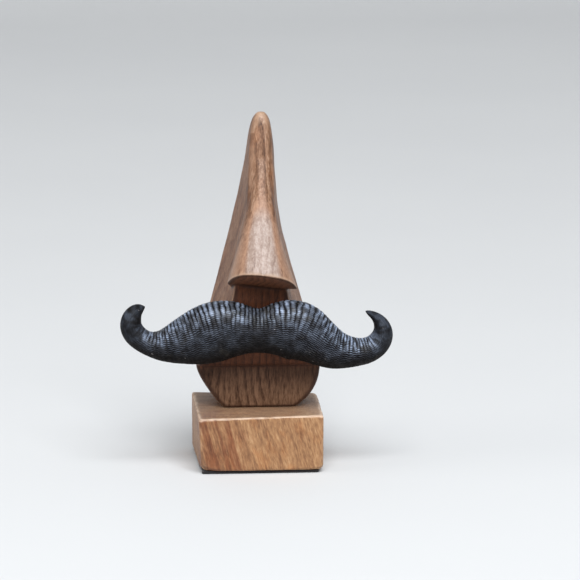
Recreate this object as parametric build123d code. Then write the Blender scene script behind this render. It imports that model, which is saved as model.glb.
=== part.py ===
from build123d import *
from collections import namedtuple
from math import atan2, cos, degrees, pi, sin, sqrt
import os

# An eyeglasses display stand: a hand-carved wooden nose on a block base, with a blackened
# curled moustache pinned across its upper lip. Spectacles sit on the bridge of the nose.
#
# Frame: millimetres, +Z up, the front faces -Y. The origin is the centre of the underside,
# on the surface that the stand rests on.

# ---- driving dimensions ----
BASE_WIDTH = 57.5
BASE_DEPTH = 54.0
BASE_HEIGHT = 25.5
BASE_LEAN = 1.0           # how far its front left edge leans inwards at the foot
BASE_EDGE = 1.2           # radius of the sanded edges
FELT_THICKNESS = 1.5
FELT_INSET = 1.5
FELT_CORNER = 2.0
TOTAL_HEIGHT = 165.0

FACE_BACK = 25.0          # the flat back of the carved face
CHIN_FRONT = -6.8
LIP_LINE = 47.6           # height of the step between the upper lip and the chin
SEAT_FRONT = -10.0        # the flat on the upper lip that carries the moustache
NOSE_ROUNDNESS = 2.7      # superellipse power of the nose's plan section

MOUSTACHE_THICKNESS = 17.0

DOWEL_RADIUS = 3.0
DOWEL_LENGTH = 20.0
DOWEL_SPACING = 24.0
DOWEL_HEIGHT = 66.5
DOWEL_CHAMFER = 0.6
GLUE_GAP = 0.05

SCREW_SPACING = 18.0
SCREW_LINE = 9.0          # how far behind the middle of the base the screws stand
SCREW_LENGTH = 40.0
SCREW_SHANK_RADIUS = 2.0
SCREW_CORE_RADIUS = 1.45
SCREW_HEAD_RADIUS = 4.0
SCREW_HEAD_HEIGHT = 2.6
SCREW_HEAD_DEPTH = 0.6    # how far the head is sunk below the wood
SCREW_THREAD_LENGTH = 24.0
SCREW_PITCH = 2.0
SCREW_POINT = 4.0
SCREW_SLOT_WIDTH = 0.9
HEAD_GAP = 0.1            # how much deeper the countersink is than the head
CLEARANCE = 0.25
BEYOND = 120.0            # a block this big reaches past everything that it cuts

# ---- worked out ----
BASE_BOTTOM = FELT_THICKNESS
BASE_TOP = BASE_BOTTOM + BASE_HEIGHT
DOWEL_CENTRES = [side * DOWEL_SPACING / 2 for side in (-1, 1)]
SCREW_CENTRES = [side * SCREW_SPACING / 2 for side in (-1, 1)]

# A level slice through the carved face: its height, its left and right edges at the back and
# at the front, how far back the front and back faces stand, and the radius of its corners.
Slice = namedtuple("Slice", "z back_left back_right front_left front_right front back corner")

CHIN = [
    Slice(BASE_TOP, -15.8, 17.4, -16.2, 17.8, -5.8, 24.0, 2.0),
    Slice(30.5, -19.0, 21.8, -19.6, 22.4, -6.3, 24.8, 2.0),
    Slice(35.0, -22.2, 25.2, -22.9, 25.9, -6.6, FACE_BACK, 2.0),
    Slice(41.0, -26.0, 27.6, -26.7, 28.4, CHIN_FRONT, FACE_BACK, 2.0),
    Slice(LIP_LINE, -28.2, 28.6, -29.0, 29.3, CHIN_FRONT, FACE_BACK, 2.0),
]

CHEEKS = [
    Slice(LIP_LINE, -28.2, 28.6, -28.4, 28.9, -9.2, FACE_BACK, 2.0),
    Slice(55.0, -26.6, 27.2, -24.6, 25.6, -10.6, FACE_BACK, 2.0),
    Slice(65.0, -23.6, 25.1, -19.0, 20.6, -11.0, FACE_BACK, 2.0),
    Slice(76.0, -20.4, 22.1, -13.0, 15.2, -10.4, FACE_BACK, 2.0),
    Slice(88.0, -17.4, 18.5, -10.2, 12.4, -8.2, FACE_BACK, 2.2),
    Slice(104.0, -13.3, 14.2, -7.4, 9.8, -7.2, 24.2, 2.6),
    Slice(121.0, -9.5, 11.0, -4.8, 8.2, -6.0, 21.6, 3.0),
    Slice(136.0, -6.7, 9.8, -3.8, 7.6, -3.6, 18.0, 3.6),
    Slice(149.0, -4.7, 8.8, -3.0, 7.0, -0.6, 14.6, 3.8),
    Slice(158.0, -3.1, 7.5, -2.2, 6.4, 1.6, 12.2, 3.6),
    Slice(163.0, -1.2, 5.8, -0.8, 5.2, 3.4, 10.2, 2.6),
    Slice(TOTAL_HEIGHT, 0.8, 3.8, 0.9, 3.7, 5.2, 8.2, 1.1),
]

# A level slice through the nose: its height, half its width at the widest, the middle of that
# width, how far back the widest line stands, and how far forward its ridge stands.
NoseSlice = namedtuple("NoseSlice", "z half middle widest ridge")
NOSE_ROOT = 8.0           # how far the nose closes in behind its widest line

NOSE = [
    NoseSlice(84.0, 16.6, 1.7, -7.0, -29.1),
    NoseSlice(94.0, 13.6, 1.2, -6.0, -27.4),
    NoseSlice(103.0, 11.0, 1.0, -4.6, -22.6),
    NoseSlice(113.0, 8.6, 1.2, -2.6, -16.6),
    NoseSlice(124.0, 6.4, 1.7, 0.6, -10.8),
    NoseSlice(136.0, 4.9, 2.0, 3.0, -5.4),
    NoseSlice(150.0, 3.4, 2.0, 6.0, 1.0),
]
NOSE_TIP_HEIGHT = 93.5    # the front edge of the nose's undercut
UNDERCUT_PITCH = 24.0     # degrees the undercut rises towards the front
UNDERCUT_ROLL = 6.5       # degrees it drops towards the right

# One station on the moustache's centreline, seen from the front: x, z, half its height there
# and its thickness as a share of the whole.
Station = namedtuple("Station", "x z half share")

MOUSTACHE = [
    Station(-52.6, 76.6, 0.8, 0.16),
    Station(-56.0, 75.5, 3.1, 0.38),
    Station(-58.7, 72.3, 4.5, 0.50),
    Station(-59.2, 68.0, 5.1, 0.57),
    Station(-56.6, 63.6, 5.3, 0.63),
    Station(-52.0, 60.6, 5.5, 0.68),
    Station(-46.3, 59.4, 7.0, 0.76),
    Station(-37.4, 60.8, 10.4, 0.88),
    Station(-28.3, 63.4, 13.3, 0.97),
    Station(-18.1, 66.3, 14.1, 1.00),
    Station(-8.5, 66.6, 12.2, 0.97),
    Station(0.0, 66.0, 10.4, 0.92),
    Station(8.5, 66.5, 12.7, 0.97),
    Station(18.1, 65.5, 14.0, 1.00),
    Station(26.7, 60.9, 11.6, 0.95),
    Station(35.5, 56.3, 9.2, 0.86),
    Station(44.5, 54.9, 6.9, 0.76),
    Station(50.9, 55.8, 6.0, 0.70),
    Station(55.4, 58.7, 5.5, 0.64),
    Station(57.6, 63.2, 4.8, 0.56),
    Station(56.8, 67.8, 3.5, 0.46),
    Station(54.0, 71.1, 2.1, 0.34),
    Station(49.8, 73.2, 0.7, 0.16),
]
BULGE = 0.58              # the front of the section takes this share of the thickness


def level(z):
    return Plane.XY.offset(z)


def block_below(place):
    """A block that fills everything on the far side of a place's own XY plane."""
    return place * Pos(0, 0, -BEYOND / 2) * Box(2 * BEYOND, 2 * BEYOND, BEYOND)


def dowel_hole(x):
    """Both halves of one dowel's hole, before and behind the seat."""
    hole = Cylinder(DOWEL_RADIUS + GLUE_GAP, DOWEL_LENGTH + 2 * GLUE_GAP)
    return Pos(x, SEAT_FRONT, DOWEL_HEIGHT) * Rot(90, 0, 0) * hole


def face_slice(s):
    """One slice of the face: four sides that narrow towards the front, with round corners."""
    back = [(s.back_right, s.back), (s.back_left, s.back)]
    front = [(s.front_left, s.front), (s.front_right, s.front)]
    outline = make_face(Polyline(*back, *front, close=True))
    return level(s.z) * fillet(outline.vertices(), s.corner)


def nose_slice(s):
    """One slice of the nose: a superellipse in front, and an ellipse that closes in behind."""
    reach = s.widest - s.ridge
    turns = [pi * step / 12 for step in range(13)]
    front, behind = [], []
    for turn in turns:
        across = abs(cos(turn)) ** (2 / NOSE_ROUNDNESS)
        out = abs(sin(turn)) ** (2 / NOSE_ROUNDNESS)
        side = 1 if cos(turn) > 0 else -1
        front.append((s.middle + side * s.half * across, s.widest - reach * out))
        behind.append((s.middle - s.half * cos(turn), s.widest + NOSE_ROOT * sin(turn)))
    wire = Wire([Spline(*front).edge(), Spline(*behind).edge()])
    return level(s.z) * make_face(wire)


def make_felt():
    """The felt sheet glued under the base."""
    sheet = RectangleRounded(BASE_WIDTH - 2 * FELT_INSET, BASE_DEPTH - 2 * FELT_INSET, FELT_CORNER)
    return extrude(sheet, FELT_THICKNESS)


def screw_at(x):
    """One countersunk wood screw, driven upwards, with its head at the base's underside."""
    bottom = BASE_BOTTOM + SCREW_HEAD_DEPTH
    top = bottom + SCREW_LENGTH
    thread_start = top - SCREW_POINT - SCREW_THREAD_LENGTH
    outline = [(0, bottom), (SCREW_HEAD_RADIUS, bottom)]
    outline.append((SCREW_SHANK_RADIUS, bottom + SCREW_HEAD_HEIGHT))
    outline.append((SCREW_SHANK_RADIUS, thread_start))
    for turn in range(int(SCREW_THREAD_LENGTH / SCREW_PITCH)):
        foot = thread_start + turn * SCREW_PITCH
        outline.append((SCREW_CORE_RADIUS, foot + 0.3 * SCREW_PITCH))
        outline.append((SCREW_CORE_RADIUS, foot + 0.7 * SCREW_PITCH))
        outline.append((SCREW_SHANK_RADIUS, foot + SCREW_PITCH))
    outline.append((SCREW_CORE_RADIUS, top - SCREW_POINT + 0.3 * SCREW_PITCH))
    outline.append((0, top))
    body = revolve(Plane.XZ * make_face(Polyline(*outline, close=True)), Axis.Z)
    slot_depth = 0.6 * SCREW_HEAD_HEIGHT
    for angle in (0, 90):
        bar = Box(1.1 * SCREW_HEAD_RADIUS, SCREW_SLOT_WIDTH, 2 * slot_depth)
        body -= Pos(0, 0, bottom) * Rot(0, 0, angle) * bar
    return Pos(x, SCREW_LINE, 0) * body


def block_outline(corners, height):
    return level(height) * make_face(Polyline(*corners, close=True))


def make_base():
    """The sawn block, a little out of square, with a countersunk hole for each screw."""
    side, end = BASE_WIDTH / 2, BASE_DEPTH / 2
    square = [(-side, -end), (side, -end), (side, end), (-side, end)]
    skewed = [(-side + BASE_LEAN, -end), (side + BASE_LEAN / 2, -end), (side, end), (-side, end)]
    block = loft([block_outline(skewed, BASE_BOTTOM), block_outline(square, BASE_TOP)], ruled=True)
    block = fillet(block.edges(), BASE_EDGE)
    head_top = BASE_BOTTOM + SCREW_HEAD_DEPTH + SCREW_HEAD_HEIGHT
    shank = SCREW_SHANK_RADIUS + CLEARANCE
    head = SCREW_HEAD_RADIUS + CLEARANCE
    for x in SCREW_CENTRES:
        hole = [(0, 0), (head, 0), (head, head_top - SCREW_HEAD_HEIGHT + HEAD_GAP)]
        hole += [(shank, head_top + HEAD_GAP), (shank, BEYOND), (0, BEYOND)]
        cutter = revolve(Plane.XZ * make_face(Polyline(*hole, close=True)), Axis.Z)
        block -= Pos(x, SCREW_LINE, 0) * cutter
    return block


def make_nose():
    """The nose that stands out of the face, with its slanted undercut."""
    nose = loft([nose_slice(s) for s in NOSE])
    tip = Pos(0, NOSE[1].ridge, NOSE_TIP_HEIGHT)
    return nose - block_below(tip * Rot(-UNDERCUT_PITCH, UNDERCUT_ROLL, 0))


def make_face_block():
    """Chin, lip, cheeks, nose and spire, carved from one piece."""
    cheeks = loft([face_slice(s) for s in CHEEKS])
    cheeks -= block_below(Pos(0, SEAT_FRONT, 0) * Rot(-90, 0, 0))
    face = loft([face_slice(s) for s in CHIN]) + cheeks + make_nose()
    for x in DOWEL_CENTRES:
        face -= dowel_hole(x)
    pilot_top = BASE_BOTTOM + SCREW_HEAD_DEPTH + SCREW_LENGTH
    for x in SCREW_CENTRES:
        pilot = Cylinder(SCREW_SHANK_RADIUS + GLUE_GAP, 2 * (pilot_top - BASE_TOP))
        face -= Pos(x, SCREW_LINE, BASE_TOP) * pilot
    return face


def moustache_section(before, here, after):
    """One oval section, square to the centreline, as thick front to back as its share says."""
    along = Vector(after.x - before.x, 0, after.z - before.z).normalized()
    thickness = MOUSTACHE_THICKNESS * here.share
    deep = BULGE * thickness
    centre = Vector(here.x, SEAT_FRONT - thickness + deep, here.z)
    plane = Plane(origin=centre, x_dir=Vector(0, 1, 0), z_dir=along)
    return plane * Ellipse(deep, here.half)


def make_moustache():
    """The curled moustache, flat at the back, with blind holes for its dowels."""
    ends = [MOUSTACHE[0]] + MOUSTACHE + [MOUSTACHE[-1]]
    rows = zip(ends, ends[1:], ends[2:])
    body = loft([moustache_section(*row) for row in rows])
    body -= block_below(Pos(0, SEAT_FRONT, 0) * Rot(90, 0, 0))
    for x in DOWEL_CENTRES:
        body -= dowel_hole(x)
    return body


def dowel_at(x):
    """One wooden dowel, half in the moustache and half in the upper lip."""
    pin = Cylinder(DOWEL_RADIUS, DOWEL_LENGTH)
    pin = chamfer(pin.edges().filter_by(GeomType.CIRCLE), DOWEL_CHAMFER)
    return Pos(x, SEAT_FRONT, DOWEL_HEIGHT) * Rot(90, 0, 0) * pin


def build():
    parts = {
        "felt_pad": make_felt(),
        "base_block": make_base(),
        "face_block": make_face_block(),
        "moustache": make_moustache(),
    }
    for side, x in zip(("left", "right"), DOWEL_CENTRES):
        parts["moustache_dowel_" + side] = dowel_at(x)
    for side, x in zip(("left", "right"), SCREW_CENTRES):
        parts["base_screw_" + side] = screw_at(x)
    return parts


os.makedirs("parts", exist_ok=True)
for name, shape in build().items():
    export_step(shape, f"parts/{name}.step")
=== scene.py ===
from math import cos, floor, pi, radians, sin, tau

import bmesh
import bpy
import numpy as np
from mathutils import Matrix, Vector, noise


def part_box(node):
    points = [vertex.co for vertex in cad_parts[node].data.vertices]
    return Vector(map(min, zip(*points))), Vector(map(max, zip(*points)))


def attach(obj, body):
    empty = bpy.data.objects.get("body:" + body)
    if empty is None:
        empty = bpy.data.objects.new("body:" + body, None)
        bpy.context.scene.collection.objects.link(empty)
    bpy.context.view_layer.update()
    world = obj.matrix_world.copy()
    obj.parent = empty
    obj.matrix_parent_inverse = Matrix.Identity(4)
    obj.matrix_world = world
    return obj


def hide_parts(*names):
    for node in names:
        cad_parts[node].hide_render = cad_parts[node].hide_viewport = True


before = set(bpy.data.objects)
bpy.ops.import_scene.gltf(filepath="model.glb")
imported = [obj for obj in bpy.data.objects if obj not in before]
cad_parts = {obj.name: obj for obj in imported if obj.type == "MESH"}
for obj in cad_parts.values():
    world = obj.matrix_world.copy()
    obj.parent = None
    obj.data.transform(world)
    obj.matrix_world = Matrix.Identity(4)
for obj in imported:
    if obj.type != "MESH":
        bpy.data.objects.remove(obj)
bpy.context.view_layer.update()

# ---------------------------------------------------------------- camera
# The stand is looked at from a little to its left and a little above, through a long lens.
CAMERA_AZIMUTH = radians(-3.95)
CAMERA_HEIGHT = radians(11.35)
CAMERA_DISTANCE = 1.8
LOOKED_AT = Vector((0, 0, 0.080))
AIM_RIGHT = 0.01536           # how far the view's middle lies to the right of that point
AIM_UP = 0.00175

camera_data = bpy.data.cameras.new("camera")
camera_data.lens = 239.4
camera_data.sensor_width = 36.0
camera = bpy.data.objects.new("camera", camera_data)
bpy.context.scene.collection.objects.link(camera)
towards = Vector((sin(CAMERA_AZIMUTH) * cos(CAMERA_HEIGHT),
                  -cos(CAMERA_AZIMUTH) * cos(CAMERA_HEIGHT), sin(CAMERA_HEIGHT)))
camera_turn = (-towards).to_track_quat("-Z", "Y")
aim = LOOKED_AT + camera_turn @ Vector((AIM_RIGHT, AIM_UP, 0))
camera.location = aim + towards * CAMERA_DISTANCE
camera.rotation_mode = "QUATERNION"
camera.rotation_quaternion = camera_turn
bpy.context.scene.camera = camera


# ---------------------------------------------------------------- studio
# A pale sweep of card: a level floor that curves up behind the stand, lit by a broad soft
# light overhead in front, a weaker one from the left, and a pale room all round.
SWEEP_WIDTH = 6.0
SWEEP_FRONT = -3.0
SWEEP_BACK = 1.6
SWEEP_RADIUS = 0.9
SWEEP_STEPS = 24
SWEEP_HEIGHT = 3.0


class Socket:
    """One output of a material's nodes. Sums and products of sockets add Math nodes."""

    def __init__(self, tree, output):
        self.tree = tree
        self.output = output

    def node(self, kind, settings, inputs, output=0):
        """Adds a node of that kind: its settings first, then its sockets' values or links."""
        made = self.tree.nodes.new("ShaderNode" + kind)
        for name, value in settings.items():
            if name == "stops":
                ramp = made.color_ramp.elements
                while len(ramp) < len(value):
                    ramp.new(1.0)
                for stop, (place, colour) in zip(ramp, value):
                    stop.position = place
                    stop.color = (*colour, 1.0)
            else:
                setattr(made, name, value)
        for name, value in inputs.items():
            if isinstance(value, Socket):
                self.tree.links.new(value.output, made.inputs[name])
            else:
                made.inputs[name].default_value = value
        return Socket(self.tree, made.outputs[output])

    def maths(self, operation, *values):
        return self.node("Math", {"operation": operation}, dict(enumerate(values)))

    def __add__(self, other):
        return self.maths("ADD", self, other)

    def __sub__(self, other):
        return self.maths("SUBTRACT", self, other)

    def __rsub__(self, other):
        return self.maths("SUBTRACT", other, self)

    def __mul__(self, other):
        return self.maths("MULTIPLY", self, other)

    def __mod__(self, other):
        return self.maths("FLOORED_MODULO", self, other)

    def __rmod__(self, other):
        return self.maths("FLOORED_MODULO", other, self)

    def __pow__(self, other):
        return self.maths("POWER", self, other)

    def __rpow__(self, other):
        return self.maths("POWER", other, self)

    __radd__ = __add__
    __rmul__ = __mul__

    def between(self, low, high):
        """0 below low, 1 above high, and smooth in between. It falls where low is the larger."""
        return self.node("MapRange", {"interpolation_type": "SMOOTHSTEP"},
                         {"Value": self, "From Min": low, "From Max": high})

    def colours(self, *stops):
        return self.node("ValToRGB", {"stops": stops}, {0: self})

    def mix(self, low, high, blend="MIX"):
        """The colour low where this is 0, and high where it is 1."""
        return self.node("Mix", {"data_type": "RGBA", "blend_type": blend},
                         {0: self, 6: as_colour(low), 7: as_colour(high)}, 2)

    def part(self, number):
        """One of this vector's three numbers: 0 for x, 1 for y, 2 for z."""
        return self.node("SeparateXYZ", {}, {0: self}, number)

    def stored(self, name):
        """What each point of the piece's mesh holds under that name."""
        return self.node("Attribute", {"attribute_name": name}, {}, "Fac")

    def scaled(self, *scale, turn=(0, 0, 0), shift=(0, 0, 0)):
        """This vector turned, stretched and shifted."""
        return self.node("Mapping", {}, {0: self, "Scale": scale, "Rotation": turn, "Location": shift})

    def noise(self, scale, detail=2.0, roughness=0.5):
        return self.node("TexNoise", {}, {"Vector": self, "Scale": scale, "Detail": detail,
                                          "Roughness": roughness})


def as_colour(value):
    return value if isinstance(value, Socket) else (*value, 1.0)


def new_material(name, **uniform):
    """A material, its surface's node and a Socket for its Object coordinates in millimetres."""
    material = bpy.data.materials.new(name)
    material.use_nodes = True
    tree = material.node_tree
    surface = tree.nodes["Principled BSDF"]
    for socket, value in uniform.items():
        surface.inputs[socket.replace("_", " ")].default_value = value
    place = tree.nodes.new("ShaderNodeTexCoord")
    return material, surface, Socket(tree, place.outputs["Object"]).scaled(1000, 1000, 1000)


def connect(surface, height=None, depth=0.1, **varying):
    """Feeds a surface's named inputs, and its normal from a height in units of depth mm."""
    for name, socket in varying.items():
        socket.tree.links.new(socket.output, surface.inputs[name.replace("_", " ")])
    if height is not None:
        bump = height.node("Bump", {}, {"Height": height, "Distance": depth / 1000})
        height.tree.links.new(bump.output, surface.inputs["Normal"])


def new_piece(name, mesh, material):
    """Makes a bmesh into an object at the origin, smooth-shaded and painted."""
    data = bpy.data.meshes.new(name)
    mesh.to_mesh(data)
    mesh.free()
    data.shade_smooth()
    data.materials.append(material)
    piece = bpy.data.objects.new(name, data)
    bpy.context.scene.collection.objects.link(piece)
    return piece


sweep = bmesh.new()
front_corner = sweep.verts.new((-SWEEP_WIDTH / 2, SWEEP_FRONT, 0))
floor_end = sweep.verts.new((-SWEEP_WIDTH / 2, SWEEP_BACK, 0))
sweep.edges.new((front_corner, floor_end))
curve_centre = (-SWEEP_WIDTH / 2, SWEEP_BACK, SWEEP_RADIUS)
bmesh.ops.spin(sweep, geom=[floor_end], cent=curve_centre, axis=(1, 0, 0), angle=pi / 2,
               steps=SWEEP_STEPS, use_merge=False, use_duplicate=False)
wall_foot = max(sweep.verts, key=lambda vertex: vertex.co.z)
wall_top = bmesh.ops.extrude_vert_indiv(sweep, verts=[wall_foot])["verts"]
bmesh.ops.translate(sweep, verts=wall_top, vec=(0, 0, SWEEP_HEIGHT))
widened = bmesh.ops.extrude_edge_only(sweep, edges=sweep.edges[:])["geom"]
far_side = [part for part in widened if isinstance(part, bmesh.types.BMVert)]
bmesh.ops.translate(sweep, verts=far_side, vec=(SWEEP_WIDTH, 0, 0))
bmesh.ops.recalc_face_normals(sweep, faces=sweep.faces[:])

card, card_surface, card_place = new_material("pale_card", Roughness=0.85)
card_cloud = card_place.noise(0.004, 3.0)
connect(card_surface, Base_Color=card_cloud.mix((0.62, 0.62, 0.62), (0.66, 0.66, 0.655)))
backdrop = new_piece("studio_sweep", sweep, card)


def soft_light(name, size, power, place, colour):
    """A square panel that faces the stand."""
    data = bpy.data.lights.new(name, "AREA")
    data.size = size
    data.energy = power
    data.color = colour
    light = bpy.data.objects.new(name, data)
    light.location = place
    light.rotation_mode = "QUATERNION"
    light.rotation_quaternion = (LOOKED_AT - Vector(place)).to_track_quat("-Z", "Y")
    bpy.context.scene.collection.objects.link(light)


soft_light("overhead_panel", 2.2, 138.0, (0.25, -1.9, 2.5), (0.94, 0.97, 1.0))
soft_light("left_panel", 1.0, 6.0, (-1.6, -0.3, 0.6), (1.0, 0.985, 0.96))
room = bpy.data.worlds.new("pale_room")
room.use_nodes = True
room.node_tree.nodes["Background"].inputs["Color"].default_value = (0.93, 0.96, 1.0, 1.0)
room.node_tree.nodes["Background"].inputs["Strength"].default_value = 0.38
bpy.context.scene.world = room
bpy.context.scene.view_settings.view_transform = "Standard"


# ---------------------------------------------------------------- felt pad
# A sheet of near-black pressed felt, 1.5 mm thick, glued under the base so that the stand
# doesn't scratch what it rests on. It is cut by hand, so its edge wavers a little.
FELT_CUTS = 60
FELT_ROUNDING = 0.0005
FELT_WAVER = 0.00012
FELT_WAVE = 3.0               # mm from one bay of the cut edge to the next


def millimetre_noise(point, scale, seed=0.0):
    """A smooth random value from about -1 to 1 at a point in metres, on a scale in mm."""
    return noise.noise(point * (1000 / scale) + Vector((seed, seed, seed)))


def dense_block(low, high, cuts):
    """A block between two corners whose faces are fine grids."""
    block = bmesh.new()
    bmesh.ops.create_cube(block, size=1.0)
    bmesh.ops.subdivide_edges(block, edges=block.edges[:], cuts=cuts, use_grid_fill=True)
    bmesh.ops.scale(block, verts=block.verts[:], vec=high - low)
    bmesh.ops.translate(block, verts=block.verts[:], vec=(low + high) / 2)
    return block


def sanded(point, low, high, radius):
    """A point of a block's surface after its edges and corners are rounded to that radius."""
    inner = Vector(max(a + radius, min(b - radius, c)) for c, a, b in zip(point, low, high))
    out = point - inner
    return inner + out.normalized() * radius if out.length > radius * 1e-6 else point


felt_low, felt_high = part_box("felt_pad")
felt = dense_block(felt_low, felt_high, FELT_CUTS)
for vertex in felt.verts:
    vertex.co = sanded(vertex.co, felt_low, felt_high, FELT_ROUNDING)
    outwards = Vector((vertex.co.x, vertex.co.y, 0)).normalized()
    vertex.co += outwards * FELT_WAVER * (millimetre_noise(vertex.co, FELT_WAVE) - 0.8)

felt_cloth, felt_surface, felt_place = new_material(
    "pressed_felt", Roughness=0.95, Specular_IOR_Level=0.2, Sheen_Weight=0.25, Sheen_Roughness=0.5)
felt_fibre = felt_place.noise(2.6, 5.0, 0.7)
felt_patch = felt_place.noise(0.12, 2.0)
felt_tone = felt_fibre * 0.7 + felt_patch * 0.3
connect(felt_surface, height=felt_fibre, depth=0.25,
        Base_Color=felt_tone.mix((0.008, 0.007, 0.008), (0.035, 0.030, 0.030)))
felt_piece = new_piece("felt_underlay", felt, felt_cloth)
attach(felt_piece, "root")
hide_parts("felt_pad")


# ---------------------------------------------------------------- base block
# A block of light hardwood, sawn by hand a little out of square and oiled to a satin finish.
# Its edges are sanded and worn, and that pale wear is kept mostly on upward-facing edges as a
# painted highlight. The grain stands upright and leans to the left, so that the top is end grain;
# its top face is painted darker and greyer, a painted shade with painted grazing sheen.
BASE_CUTS = 88
BASE_ROUNDING = 0.0012
BASE_LEAN = 0.0010            # how far the left side leans out towards the top in front
BASE_FLARE = 0.0009           # how much further out each side is behind than in front
BASE_TWIST = 0.0006           # how far two corners of the top are up and the others down
KNOCK_REACH = 0.010           # how far from a knocked corner its edges are worn more
SAW_WAVE = 0.00009            # the height of the saw's and the sander's marks
SAW_FUZZ = 0.00003
BASE_INSET = 0.00008          # keeps those marks inside the block's size
BASE_RELIEF = 0.00036
BASE_BLUR = 24
BASE_GRAIN_RISE = radians(14)

base_low, base_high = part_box("base_block")
base = dense_block(base_low, base_high, BASE_CUTS)
worn_corners = [(Vector((base_low.x, base_low.y, base_low.z)), 2.4),
                (Vector((base_high.x, base_low.y, base_low.z)), 1.4),
                (Vector((base_low.x, base_low.y, base_high.z)), 0.5),
                (Vector((base_high.x, base_high.y, base_high.z)), 1.1)]
for vertex in base.verts:
    worn = 1.0 + 0.45 * millimetre_noise(vertex.co, 7.0) + 0.25 * millimetre_noise(vertex.co, 2.2)
    for corner_place, amount in worn_corners:
        worn += amount * max(0.0, 1.0 - (vertex.co - corner_place).length / KNOCK_REACH)
    placed = sanded(vertex.co, base_low, base_high, BASE_ROUNDING * worn)
    drop = (base_high.z - placed.z) / (base_high.z - base_low.z)
    front = (base_high.y - placed.y) / (base_high.y - base_low.y)
    leftness = (base_high.x - placed.x) / (base_high.x - base_low.x)
    placed.x += BASE_LEAN * drop * front * leftness - BASE_FLARE * (2 * leftness - 1) * (1 - front)
    placed.z -= BASE_TWIST * (2 * leftness - 1) * (2 * front - 1) * (1 - drop)
    vertex.co = placed
base.normal_update()
for vertex in base.verts:
    sawn = SAW_WAVE * millimetre_noise(vertex.co, 14.0, 3.0)
    fuzzed = SAW_FUZZ * millimetre_noise(vertex.co, 1.6, 5.0)
    vertex.co += vertex.normal * (sawn + fuzzed - BASE_INSET)


def soften(mesh, times):
    for _ in range(times):
        bmesh.ops.smooth_vert(mesh, verts=mesh.verts[:], factor=0.5,
                              use_axis_x=True, use_axis_y=True, use_axis_z=True)


def mark_relief(mesh, times, full):
    """Stores how far each point stands out of its surroundings, which are the mesh smoothed that
    many times: from -1 in a crease that is full deep to 1 on an edge that is full high."""
    blurred = mesh.copy()
    soften(blurred, times)
    mesh.normal_update()
    relief = mesh.verts.layers.float.new("relief")
    for vertex, level in zip(mesh.verts, blurred.verts):
        vertex[relief] = max(-1.0, min(1.0, (vertex.co - level.co).dot(vertex.normal) / full))
    blurred.free()
    return relief


def ramp(value, low, high):
    """0 at low and 1 at high, with a smooth rise between them. It falls where low is the larger."""
    share = max(0.0, min(1.0, (value - low) / (high - low)))
    return share * share * (3 - 2 * share)


relief_layer = mark_relief(base, BASE_BLUR, BASE_RELIEF)
dusty = base.verts.layers.float.new("dusty")
for vertex in base.verts:
    # painted highlight: the pale edge wear is kept mostly where edges face upwards, towards the light
    highlight_share = 0.20 + 0.80 * ramp(vertex.normal.z, 0.0, 0.6)
    vertex[relief_layer] *= highlight_share * (0.75 + 0.6 * millimetre_noise(vertex.co, 4.0, 9.0))
    # painted shade: upward-facing faces are marked for a darker, greyer colour with painted grazing sheen
    vertex[dusty] = ramp(vertex.normal.z, 0.75, 0.98)


def wood(name, turn, pith, tones, rings=0.30, ring_depth=0.42, fleck_depth=0.30, pore_depth=0.5,
         fibre_depth=0.75, **uniform):
    """Oiled hardwood. turn lays the grain along the third axis, pith is the heart's place in
    mm, tones go from the darkest late wood to the palest, and rings is rings per mm."""
    material, surface, place = new_material(name, **uniform)
    grain = place.scaled(1, 1, 1, turn=turn, shift=pith)
    drift = grain.scaled(0.030, 0.030, 0.012).noise(1.0, 2.0)
    ripple = grain.scaled(0.16, 0.16, 0.030).noise(1.0, 3.0)
    sideways, inwards = grain.part(0), grain.part(1)
    radius = (sideways * sideways + inwards * inwards) ** 0.5
    ring = (radius * rings + drift * 5.0 + ripple * 0.9) % 1.0
    late = ring.between(0.25, 0.90) * ring.between(1.0, 0.92)
    strength = grain.scaled(0.05, 0.05, 0.02).noise(1.0, 2.0).between(0.38, 0.62)
    fibre = grain.scaled(1.9, 1.9, 0.09).noise(1.0, 4.0, 0.6)
    thread = grain.scaled(5.0, 5.0, 0.30).noise(1.0, 2.0, 0.5)
    fleck = grain.scaled(1.10, 1.10, 0.26).noise(1.0, 3.0, 0.6)
    pore = grain.scaled(2.6, 2.6, 0.34).noise(1.0, 1.0, 0.4).between(0.64, 0.74)
    cloud = grain.scaled(0.10, 0.10, 0.05).noise(1.0, 3.0)
    tone = (0.62 - late * (strength * 0.7 + 0.3) * ring_depth + (fibre - 0.5) * fibre_depth
            + (thread - 0.5) * 0.30 + (fleck - 0.5) * fleck_depth + (cloud - 0.5) * 0.65)
    colour = tone.colours((0.0, tones[0]), (0.35, tones[1]), (0.65, tones[2]), (1.0, tones[3]))
    blotch = grain.scaled(0.17, 0.17, 0.07).noise(1.0, 3.0, 0.6).between(0.50, 0.68)
    foxed = (blotch * 0.55).mix(colour, (1.0, 0.80, 0.62), "MULTIPLY")
    pores = (pore * pore_depth).mix(foxed, tones[0])
    return material, surface, place, pores, tone, fibre, pore


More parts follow.
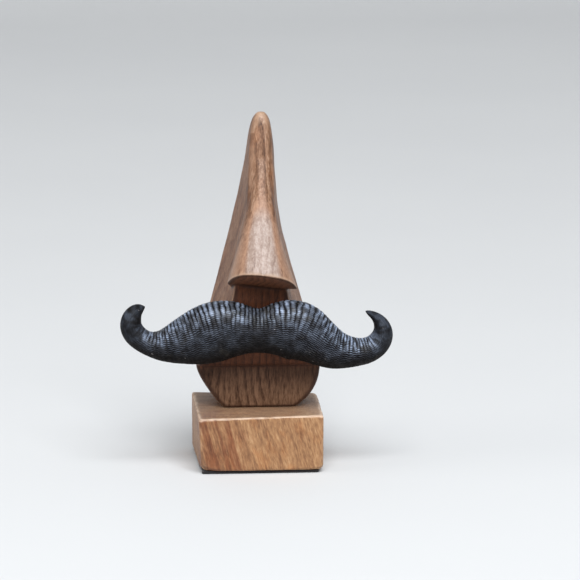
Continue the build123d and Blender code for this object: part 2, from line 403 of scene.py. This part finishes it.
BASE_TONES = ((0.115, 0.042, 0.015), (0.228, 0.106, 0.046),
              (0.365, 0.188, 0.083), (0.520, 0.310, 0.158))
base_wood, base_surface, base_place, base_colour, base_tone, base_fibre, base_pore = wood(
    "oiled_base_wood", (0, BASE_GRAIN_RISE, radians(6)), (4, 44, 0), BASE_TONES, rings=0.16, ring_depth=0.18,
    fleck_depth=1.15, pore_depth=0.30, fibre_depth=0.50,
    Coat_Weight=0.10, Coat_Roughness=0.40, Specular_IOR_Level=0.40)
base_relief = base_place.stored("relief")
slant = base_place.part(0) + base_place.part(2) * 0.25
heart_edge = (slant + base_place.noise(0.12, 2.0) * 10.0).between(4.0, -3.0)
heart = heart_edge * base_place.part(1).between(0.0, -22.0)
risen = base_place.scaled(1, 1, 1, turn=(0, BASE_GRAIN_RISE, 0))
streak = risen.scaled(0.45, 0.05, 0.04).noise(1.0, 3.0, 0.6).between(0.42, 0.60)
hearted = (heart * (streak * 0.70 + 0.25)).mix(base_colour, (0.58, 0.40, 0.34), "MULTIPLY")
top_shade_mask = base_place.stored("dusty")
# painted shade and painted grazing sheen: the top face is mixed towards a darker grey
top_shaded = (top_shade_mask * 0.38).mix(hearted, (0.240, 0.182, 0.145))
# worn pale edges, painted brighter on upward-facing edges as a painted highlight
base_worn_and_lit = (base_relief.between(0.05, 0.75) * 0.74).mix(top_shaded, (0.72, 0.54, 0.40))
base_rough = 0.55 - base_tone * 0.12 + base_pore * 0.2
connect(base_surface, height=base_fibre - base_pore * 0.8, depth=0.10,
        Base_Color=base_worn_and_lit, Roughness=base_rough)
base_piece = new_piece("worn_base_block", base, base_wood)
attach(base_piece, "root")
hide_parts("base_block")


# ---------------------------------------------------------------- base screws
# Two countersunk zinc-plated wood screws, driven up through the base into the chin and then
# hidden by the felt.
zinc, zinc_surface, zinc_place = new_material("zinc_plating", Metallic=1.0)
zinc_cloud = zinc_place.noise(1.4, 3.0)
zinc_scratch = zinc_place.scaled(1, 1, 0.1).noise(9.0, 2.0)
connect(zinc_surface, height=zinc_scratch, depth=0.02,
        Base_Color=zinc_cloud.mix((0.48, 0.46, 0.40), (0.66, 0.65, 0.60)),
        Roughness=0.28 + zinc_scratch * 0.2)
for side in ("left", "right"):
    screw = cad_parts["base_screw_" + side]
    screw.data.materials.clear()
    screw.data.materials.append(zinc)


# ---------------------------------------------------------------- carved face
# Chin, lip, cheeks, nose and spire, carved from one block with the grain upright and waxed. The
# knife leaves soft facets and a cut under the lip; creases are painted darker as painted shade.
# The chin is stained darker, with painted shadow of the moustache over its top. The lip, the
# nose's underside and the hollow under the nose are painted dark red-brown as painted shade and
# painted shadow of the nose. Raised edges in these dark parts and on the chin are painted darker
# still as painted shade. The nose's front is painted pale as a painted highlight, and side faces
# off the nose are painted darker as painted shade.
FACE_VOXEL = 0.00055
UNDERCUT_PITCH = radians(24)  # how the flat cut under the nose rises towards the front
UNDERCUT_ROLL = radians(6.5)  # and drops towards the right
FACE_SMOOTHING = 4
FACE_BLUR = 26
FACE_RELIEF = 0.00035
KNIFE_FACET = 0.00022         # how far the knife's facets stand up and down
RAISED_FIBRE = 0.00004
FACE_INSET = 0.00005
LONG_GRAIN = 0.22             # the fibres' width as a share of their length

# Heights and places on the face, in mm.
STAIN_FADES = (62, 54)        # the chin's stain runs up under the moustache and ends here
CHIN_SHADOW_RISE = (26, 44)         # and is thinner towards the foot, as painted shadow of the moustache darkens its top
# painted shade on the nose's underside starts above these heights
NOSE_UNDERSIDE_SHADE = (80, 82)
NOSE_SHADOW_TOP = (92, 89)         # the painted shadow of the nose in the hollow between the nose and the lip
NOSE_SHADOW_FRONT = (-14.0, -12.5)
NOSE_FRONT = (-7.0, -12.0)    # the nose is painted pale in front of this, a painted highlight
NOSE_TOP = (136, 112)
CHIN_SHADE = (26.0, 47.0)
LIP_EDGE = (45.0, 48.5)


def remeshed(node, voxel, lie):
    """A copy of a CAD node as an even, closed grid of quads, whose rows lie as that turn does."""
    copy = bmesh.new()
    copy.from_mesh(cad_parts[node].data)
    bmesh.ops.remove_doubles(copy, verts=copy.verts[:], dist=1e-6)
    bmesh.ops.rotate(copy, verts=copy.verts[:], cent=(0, 0, 0), matrix=lie.inverted())
    data = bpy.data.meshes.new("even_grid")
    copy.to_mesh(data)
    copy.free()
    draft = bpy.data.objects.new("even_grid", data)
    bpy.context.scene.collection.objects.link(draft)
    evening = draft.modifiers.new("evening", "REMESH")
    evening.mode = "VOXEL"
    evening.voxel_size = voxel
    bpy.context.view_layer.update()
    grid = bmesh.new()
    grid.from_object(draft, bpy.context.evaluated_depsgraph_get())
    bpy.data.objects.remove(draft)
    bpy.data.meshes.remove(data)
    bmesh.ops.rotate(grid, verts=grid.verts[:], cent=(0, 0, 0), matrix=lie)
    return grid


undercut_lie = Matrix.Rotation(-UNDERCUT_PITCH, 3, "X") @ Matrix.Rotation(UNDERCUT_ROLL, 3, "Y")
face = remeshed("face_block", FACE_VOXEL, undercut_lie)
soften(face, FACE_SMOOTHING)
face.normal_update()
for vertex in face.verts:
    stretched = Vector((vertex.co.x, vertex.co.y, vertex.co.z * LONG_GRAIN))
    facet = KNIFE_FACET * millimetre_noise(vertex.co, 11.0, 1.0)
    raised = RAISED_FIBRE * millimetre_noise(stretched, 0.9, 2.0)
    vertex.co += vertex.normal * (facet + raised - FACE_INSET)
mark_relief(face, FACE_BLUR, FACE_RELIEF)
stained = face.verts.layers.float.new("stained")
handled = face.verts.layers.float.new("handled")
for vertex in face.verts:
    _, y, z = vertex.co * 1000
    n = vertex.normal
    facing_front = 0.65 + 0.35 * ramp(-n.y, 0.10, 0.80)
    chin = ramp(z, *STAIN_FADES) * (0.78 + 0.22 * ramp(z, *CHIN_SHADOW_RISE)) * facing_front
    # painted shade under the nose and painted shadow of the nose in the hollow above the lip
    under_nose_shade = ramp(-n.z, 0.10, 0.45) * ramp(z, *NOSE_UNDERSIDE_SHADE)
    nose_shadow = ramp(-n.y, 0.45, 0.80) * ramp(z, *NOSE_SHADOW_TOP) * ramp(y, *NOSE_SHADOW_FRONT)
    vertex[stained] = max(chin, under_nose_shade * 0.88, nose_shadow)
    # painted highlight along the nose's front where it faces the light, and painted shade on side faces off
    # the nose
    nose = ramp(y, *NOSE_FRONT) * ramp(z, *NOSE_TOP)
    ridge = nose * (0.35 + 0.65 * ramp(0.88 * -n.y + 0.47 * n.z, 0.60, 0.97))
    vertex[handled] = ridge - 0.8 * ramp(abs(n.x), 0.55, 0.95) * (1 - nose)


FACE_TONES = ((0.060, 0.022, 0.009), (0.165, 0.073, 0.034),
              (0.275, 0.146, 0.083), (0.420, 0.270, 0.185))
face_wood, face_surface, face_place, face_colour, face_tone, face_fibre, face_pore = wood(
    "waxed_face_wood", (radians(3), radians(-2), 0), (70, 26, 0), FACE_TONES, rings=0.30, ring_depth=0.38,
    fleck_depth=1.10, pore_depth=0.25, fibre_depth=0.90, Coat_Roughness=0.42, Specular_IOR_Level=0.26)
relief = face_place.stored("relief")
stain_and_shade_mask = face_place.stored("stained")
highlight_and_side_shade_mask = face_place.stored("handled")
height = face_place.part(2)
# painted highlight: the nose's front is painted paler and pinker where it faces the light
nose_highlight_wood = highlight_and_side_shade_mask.between(0.45, 1.0).mix((0.438, 0.250, 0.158), (0.438, 0.342, 0.294))
speckle = face_place.scaled(0.85, 0.85, 0.36).noise(1.0, 3.0, 0.65)
mottle = (speckle * 0.7 + face_place.scaled(0.30, 0.30, 0.14).noise(1.0, 2.0) * 0.3).between(0.38, 0.66)
nose_wood_with_highlight = (mottle * 0.80).mix(nose_highlight_wood, (0.60, 0.54, 0.50), "MULTIPLY")
nose_highlighted = (highlight_and_side_shade_mask.between(0.0, 0.45) * (face_tone * 0.8 + 0.40)).mix(face_colour, nose_wood_with_highlight)
# painted shade: side faces away from the nose are multiplied darker
side_shaded = (highlight_and_side_shade_mask.between(0.0, -0.8) * (1 - stain_and_shade_mask)).mix(nose_highlighted, (0.80, 0.72, 0.64), "MULTIPLY")
chin_tone = (face_tone * 1.6 - 0.25).mix((0.052, 0.020, 0.008), (0.230, 0.124, 0.070))
# painted shade: the lip, the nose's underside and the hollow get this dark red-brown, tinted as painted red
# bounce light
lip_shade_tone = (face_tone * 1.4 - 0.20).mix((0.034, 0.008, 0.002), (0.130, 0.034, 0.009))
shaded_chin = (height.between(*CHIN_SHADE) * 0.80).mix(chin_tone, (0.25, 0.15, 0.10), "MULTIPLY")
stain_and_shade_tone = height.between(*LIP_EDGE).mix(shaded_chin, lip_shade_tone)
darkened = (stain_and_shade_mask * 0.96).mix(side_shaded, stain_and_shade_tone)
worn = (relief.between(0.25, 1.0) * (1 - stain_and_shade_mask) * 0.45).mix(darkened, (0.56, 0.38, 0.26))
# painted shade: raised edges in the stained and shaded parts are painted near black
edge_shaded = (relief.between(0.15, 0.75) * stain_and_shade_mask * 0.75).mix(worn, (0.034, 0.011, 0.005))
# painted shade: creases are painted dark
crease_shaded = (relief.between(-0.15, -0.9) * 0.80).mix(edge_shaded, (0.030, 0.011, 0.006))
connect(face_surface, height=face_fibre - face_pore * 0.8, depth=0.10, Coat_Weight=0.30 - stain_and_shade_mask * 0.30,
        Base_Color=crease_shaded, Roughness=0.54 - face_tone * 0.10 + face_pore * 0.2 + stain_and_shade_mask * 0.16)
face_piece = new_piece("carved_face", face, face_wood)
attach(face_piece, "root")
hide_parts("face_block")


# ---------------------------------------------------------------- moustache dowels
# Two 6 mm beech dowels, glued half into the lip and half into the back of the moustache.
beech, beech_surface, beech_place, beech_colour, beech_tone, beech_fibre, beech_pore = wood(
    "bare_beech", (radians(90), 0, 0), (3, 9, 0),
    ((0.30, 0.17, 0.08), (0.45, 0.29, 0.16), (0.60, 0.43, 0.27), (0.70, 0.54, 0.36)), rings=0.5)
connect(beech_surface, height=beech_fibre, depth=0.05,
        Base_Color=beech_colour, Roughness=0.7 - beech_tone * 0.1)
for side in ("left", "right"):
    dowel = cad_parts["moustache_dowel_" + side]
    dowel.data.materials.clear()
    dowel.data.materials.append(beech)


# ---------------------------------------------------------------- moustache
# A separate carving, flat at the back, stained black and waxed. A veining tool has cut rows
# of short strokes along it and a groove between each row and the next. The tips are plain.
# Its upper and front faces are painted a pale blue-grey, a painted reflection of the light
# overhead, and a few painted glints are dotted over it.
MOUSTACHE_SEAT = -0.010
MOUSTACHE_THICKNESS = 0.017
MOUSTACHE_BULGE = 0.58
RING_STEP = 0.00033
RING_POINTS = 180
CROWDING = 0.45               # how much closer together the points are in front than behind
RIB_PITCH = 0.0019
RIB_DEPTH = 0.00036
STROKE_PITCH = 0.00095
STROKE_DEPTH = 0.00024
TIP_ROUNDING = 0.0022
PLAIN_TIP = (0.010, 0.030)    # the carving fades out over this stretch towards each tip
FLAT_BACK = (0.0008, 0.0025)  # and over this depth towards the flat back
PLAIN_MIDDLE = (0.002, 0.009)   # the painted reflection along the top is weakest in the middle
HIGHLIGHT_RIGHT = (0.005, 0.012)   # and strongest to the right of it
TOOL_LUMPS = 0.00010
TIP_MERGE = 1e-5

# The centreline seen from the front: x, z, half the height there, all in mm, and the
# thickness as a share of the whole.
STATIONS = [
    (-52.6, 76.6, 0.8, 0.16), (-56.0, 75.5, 3.1, 0.38), (-58.7, 72.3, 4.5, 0.50), (-59.2, 68.0, 5.1, 0.57),
    (-56.6, 63.6, 5.3, 0.63), (-52.0, 60.6, 5.5, 0.68), (-46.3, 59.4, 7.0, 0.76), (-37.4, 60.8, 10.4, 0.88),
    (-28.3, 63.4, 13.3, 0.97), (-18.1, 66.3, 14.1, 1.00), (-8.5, 66.6, 12.2, 0.97), (0.0, 66.0, 10.4, 0.92),
    (8.5, 66.5, 12.7, 0.97), (18.1, 65.5, 14.0, 1.00), (26.7, 60.9, 11.6, 0.95), (35.5, 56.3, 9.2, 0.86),
    (44.5, 54.9, 6.9, 0.76), (50.9, 55.8, 6.0, 0.70), (55.4, 58.7, 5.5, 0.64), (57.6, 63.2, 4.8, 0.56),
    (56.8, 67.8, 3.5, 0.46), (54.0, 71.1, 2.1, 0.34), (49.8, 73.2, 0.7, 0.16),
]


def smooth_through(points, step):
    """Even steps along the natural cubic spline through the points, measured in the first two."""
    points = np.array(points, float)
    span = np.linalg.norm(np.diff(points[:, :2], axis=0), axis=1)
    knots = np.concatenate([[0], np.cumsum(span)])
    count = len(points)
    system, right = np.eye(count), np.zeros((count, points.shape[1]))
    for i in range(1, count - 1):
        system[i, i - 1:i + 2] = span[i - 1], 2 * (span[i - 1] + span[i]), span[i]
        right[i] = 6 * ((points[i + 1] - points[i]) / span[i] - (points[i] - points[i - 1]) / span[i - 1])
    bend = np.linalg.solve(system, right)
    rows = []
    for t in np.arange(0, knots[-1] + step / 2, step):
        i = min(int(np.searchsorted(knots, t, "right")) - 1, count - 2)
        a, b, h = knots[i + 1] - t, t - knots[i], span[i]
        rows.append(bend[i] * a ** 3 / (6 * h) + bend[i + 1] * b ** 3 / (6 * h)
                    + (points[i] / h - bend[i] * h / 6) * a + (points[i + 1] / h - bend[i + 1] * h / 6) * b)
    return np.array(rows)


line = smooth_through(STATIONS, RING_STEP * 1000)
line[:, :3] /= 1000
rings = len(line)
middle_ring = int(np.argmin(abs(line[:, 0])))
from_tip = np.minimum(np.arange(rings), np.arange(rings)[::-1]) * RING_STEP
closing = np.sqrt(1 - (1 - np.minimum(from_tip / TIP_ROUNDING, 1)) ** 2)
directions = np.gradient(line[:, :2], axis=0)
around = tau * np.arange(RING_POINTS) / RING_POINTS
turns = around + CROWDING * np.sin(around) - pi / 2

moustache = bmesh.new()
ring_layer = moustache.verts.layers.int.new("ring")
point_layer = moustache.verts.layers.int.new("point")
carved = moustache.verts.layers.float.new("carved")
rubbed = moustache.verts.layers.float.new("rubbed")
topside = moustache.verts.layers.float.new("topside")
uv = moustache.loops.layers.uv.new("carving")
ring = bmesh.ops.create_circle(moustache, segments=RING_POINTS, radius=1.0, cap_ends=False)["verts"]
ring_edges = moustache.edges[:]
girth = np.zeros((rings, RING_POINTS + 1))
for number, (x, z, half, share) in enumerate(line):
    if number:
        grown = bmesh.ops.extrude_edge_only(moustache, edges=ring_edges)["geom"]
        ring = [g for g in grown if isinstance(g, bmesh.types.BMVert)]
        fresh = set(ring)
        ring_edges = [g for g in grown if isinstance(g, bmesh.types.BMEdge) and fresh.issuperset(g.verts)]
    direction = Vector((directions[number][0], 0, directions[number][1])).normalized()
    normal = Vector((-direction.z, 0, direction.x))
    thickness = MOUSTACHE_THICKNESS * share * closing[number]
    deep = MOUSTACHE_BULGE * thickness
    centre = Vector((x, MOUSTACHE_SEAT - thickness + deep, z))
    for point, (vertex, turn) in enumerate(zip(ring, turns)):
        vertex.co = centre + normal * (half * closing[number] * cos(turn)) - Vector((0, deep * sin(turn), 0))
        vertex.co.y = min(vertex.co.y, MOUSTACHE_SEAT)
        vertex[ring_layer] = number
        vertex[point_layer] = point
    outline = np.array([v.co for v in ring + ring[:1]])
    girth[number, 1:] = np.cumsum(np.linalg.norm(np.diff(outline, axis=0), axis=1))
girth -= girth[:, RING_POINTS // 2:RING_POINTS // 2 + 1]


def carving(along, across, upper):
    """How deep the knife went at a point of the surface, in metres, from 0 on a ridge. along is
    measured along the moustache, across around it, and upper goes from 0 below to 1 on top."""
    wander = Vector((along * 160, across * 160, 0))
    row = along / RIB_PITCH + 0.28 * noise.noise(wander) + 0.15 * noise.noise(wander * 3.1)
    valley = abs(2 * (row % 1.0) - 1)
    own = noise.noise(Vector((floor(row) * 7.31, 0.5, 0.5)))
    broken = ramp(noise.noise(Vector((floor(row) * 3.7, across * 330, 2.0))), -0.45, 0.15)
    groove = RIB_DEPTH * valley ** 3 * (0.16 + 0.84 * upper) * (1 + 0.7 * own) * (0.45 + 0.55 * broken)
    stroke = across / STROKE_PITCH + own * 0.8 + 0.55 * noise.noise(wander * 1.3) - 0.30 * valley ** 2
    cut = STROKE_DEPTH * (0.5 + 0.5 * cos(tau * stroke)) ** 0.7 * (0.9 + 0.7 * noise.noise(wander * 1.7))
    return max(0.0, groove + cut * (1 - 0.55 * upper) * (1 - 0.6 * valley ** 3))


moustache.normal_update()
for part in moustache.faces:
    wraps = {loop.vert[point_layer] for loop in part.loops} >= {0, RING_POINTS - 1}
    for loop in part.loops:
        number, point = loop.vert[ring_layer], loop.vert[point_layer]
        across = girth[number, RING_POINTS if wraps and point == 0 else point]
        loop[uv].uv = ((number - middle_ring) * RING_STEP * 1000, across * 1000)
for vertex in moustache.verts:
    number, point = vertex[ring_layer], vertex[point_layer]
    fade = ramp(from_tip[number], *PLAIN_TIP)
    front = ramp(MOUSTACHE_SEAT - vertex.co.y, *FLAT_BACK)
    upper = ramp(vertex.normal.z, -0.10, 0.75)
    cut = carving((number - middle_ring) * RING_STEP, girth[number, point], upper) * fade * front
    ridge = max(0.0, 1 - cut / (0.55 * RIB_DEPTH))
    vertex[carved] = ridge * (0.15 + 0.85 * fade)
    vertex[topside] = upper * (0.15 + 0.85 * fade)
    rib_place = Vector((number * RING_STEP, girth[number, point] * 0.35, 0))
    bright = ramp(millimetre_noise(rib_place, 1.6, 4.0), -0.45, 0.35)
    facing = ramp(vertex.normal.z, -0.70, 0.0)
    sides = 0.40 + 0.60 * ramp(abs(vertex.co.x), *PLAIN_MIDDLE)
    # painted reflection of the overhead light: upper faces, and more faintly front faces, are marked pale
    top_highlight_share = 1.15 * upper * bright * (1 + 0.40 * ramp(vertex.co.x, *HIGHLIGHT_RIGHT))
    highlight_share = 0.22 * facing + top_highlight_share
    vertex[rubbed] = min(1.0, ridge ** 2 * highlight_share * sides) * (0.10 + 0.90 * fade) * front
    lumps = TOOL_LUMPS * millimetre_noise(vertex.co, 6.0, 8.0) * fade * front
    vertex.co += vertex.normal * (lumps - cut)
tip_points = [vertex for vertex in moustache.verts if vertex[ring_layer] in (0, rings - 1)]
bmesh.ops.remove_doubles(moustache, verts=tip_points, dist=TIP_MERGE)
bmesh.ops.recalc_face_normals(moustache, faces=moustache.faces[:])

black, black_surface, black_place = new_material(
    "waxed_black_stain", Coat_Roughness=0.30, Specular_IOR_Level=0.06)
ridges = black_place.stored("carved")
top_highlight_mask = black_place.stored("rubbed")
top_wax = black_place.stored("topside")
scratch = black_place.node("UVMap", {"uv_map": "carving"}, {}).scaled(0.45, 3.2, 1).noise(1.0, 4.0, 0.65)
patchy = black_place.noise(0.20, 3.0, 0.6).between(0.36, 0.62)
stain_black = (ridges * scratch.between(0.35, 0.70)).mix((0.0030, 0.0024, 0.0022), (0.038, 0.034, 0.034))
# painted reflection: the marked faces are painted a pale blue-grey
highlighted_black = (top_highlight_mask * (patchy * 0.7 + 0.3) * scratch.between(0.20, 0.65)).mix(stain_black, (0.50, 0.60, 0.80))
brown = black_place.noise(0.09, 3.0, 0.6).between(0.55, 0.72) * ridges * 0.45
rusted = brown.mix(highlighted_black, (0.065, 0.054, 0.038))
# painted glints: a few small pale specks
glint = black_place.noise(0.55, 2.0, 0.6).between(0.715, 0.735) * scratch.between(0.5, 0.6)
glinted = (glint * 0.8).mix(rusted, (0.42, 0.38, 0.36))
connect(black_surface, height=scratch + black_place.noise(1.2, 3.0) * 0.5, depth=0.12,
        Base_Color=glinted, Roughness=0.56 - ridges * 0.16, Coat_Weight=top_wax * ridges * 0.55)
moustache_piece = new_piece("carved_moustache", moustache, black)
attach(moustache_piece, "root")
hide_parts("moustache")
